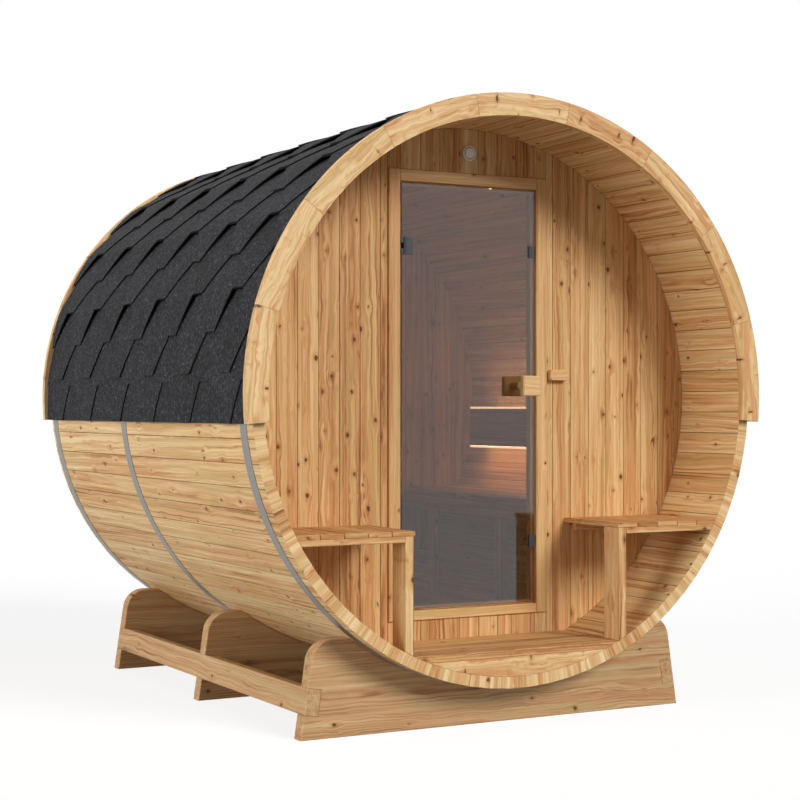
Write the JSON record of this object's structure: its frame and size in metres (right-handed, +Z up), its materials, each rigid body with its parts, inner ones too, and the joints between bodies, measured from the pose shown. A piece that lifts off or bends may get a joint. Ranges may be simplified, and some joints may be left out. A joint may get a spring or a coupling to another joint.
{
  "type": "barrel sauna",
  "caption": "Horizontal wooden barrel sauna on cradles, with a shingled upper half, an open porch with benches, a hinged glass door and a bench inside.",
  "frame": {"origin": "on the ground, under the middle of the barrel", "axes": "+Z up, +Y along the barrel from the porch to the back wall, +X to the right seen from the front"},
  "size_m": [1.9686, 2.038, 2.0671],
  "materials": {
    "stave_pine": "oiled knotty pine staves with dark joints",
    "arch_pine": "planed pale pine boards with nail heads",
    "wall_pine": "upright tongue and groove pine boards",
    "floor_pine": "planed pine boards",
    "frame_pine": "planed pine frame",
    "bench_pine": "planed pine bench boards",
    "cradle_pine": "planed edge glued pine",
    "handle_wood": "sanded pine block",
    "bitumen_shingle": "black mineral granules on bitumen felt",
    "hoop_steel": "stainless steel band",
    "dark_metal": "dark coated metal",
    "tinted_glass": "grey bronze tinted toughened glass",
    "vent_plastic": "white moulded cap",
    "warm_light": "warm white light strip behind a diffuser"
  },
  "bodies": {
    "root": {"staves_01": "stave_pine", "staves_02": "stave_pine", "staves_03": "stave_pine", "staves_04": "stave_pine", "staves_05": "stave_pine", "staves_06": "stave_pine", "staves_07": "stave_pine", "staves_08": "stave_pine", "staves_09": "stave_pine", "staves_10": "stave_pine", "staves_11": "stave_pine", "hoops": "hoop_steel", "roof_shingles": "bitumen_shingle", "front_arch": "arch_pine", "back_arch": "arch_pine", "front_wall_left": "wall_pine", "front_wall_right": "wall_pine", "front_wall_top": "wall_pine", "front_wall_bottom": "wall_pine", "back_wall": "wall_pine", "porch_floor": "floor_pine", "room_floor": "floor_pine", "floor_bearers": "floor_pine", "door_frame": "frame_pine", "door_stops": "frame_pine", "hinge_leaves": "dark_metal", "vent_cap": "vent_plastic", "hook_block": "handle_wood", "porch_seat_left": "bench_pine", "porch_seat_right": "bench_pine", "porch_frame_left": "bench_pine", "porch_frame_right": "bench_pine", "bench_seat": "bench_pine", "bench_frame": "bench_pine", "backrest": "bench_pine", "light_strips": "warm_light", "front_cradle": "cradle_pine", "middle_cradle": "cradle_pine", "back_cradle": "cradle_pine", "side_rail_left": "cradle_pine", "side_rail_right": "cradle_pine"},
    "door": {"door_glass": "tinted_glass", "hinge_clips": "dark_metal", "catch_plates": "dark_metal", "door_handle": "handle_wood"}
  },
  "joints": [
    {"name": "door_hinge", "type": "hinge", "parent": "root", "child": "door", "pos_m": [-0.257, -0.679, 1.082], "axis": [0, 0, -1], "range_deg": [0, 100]}
  ]
}
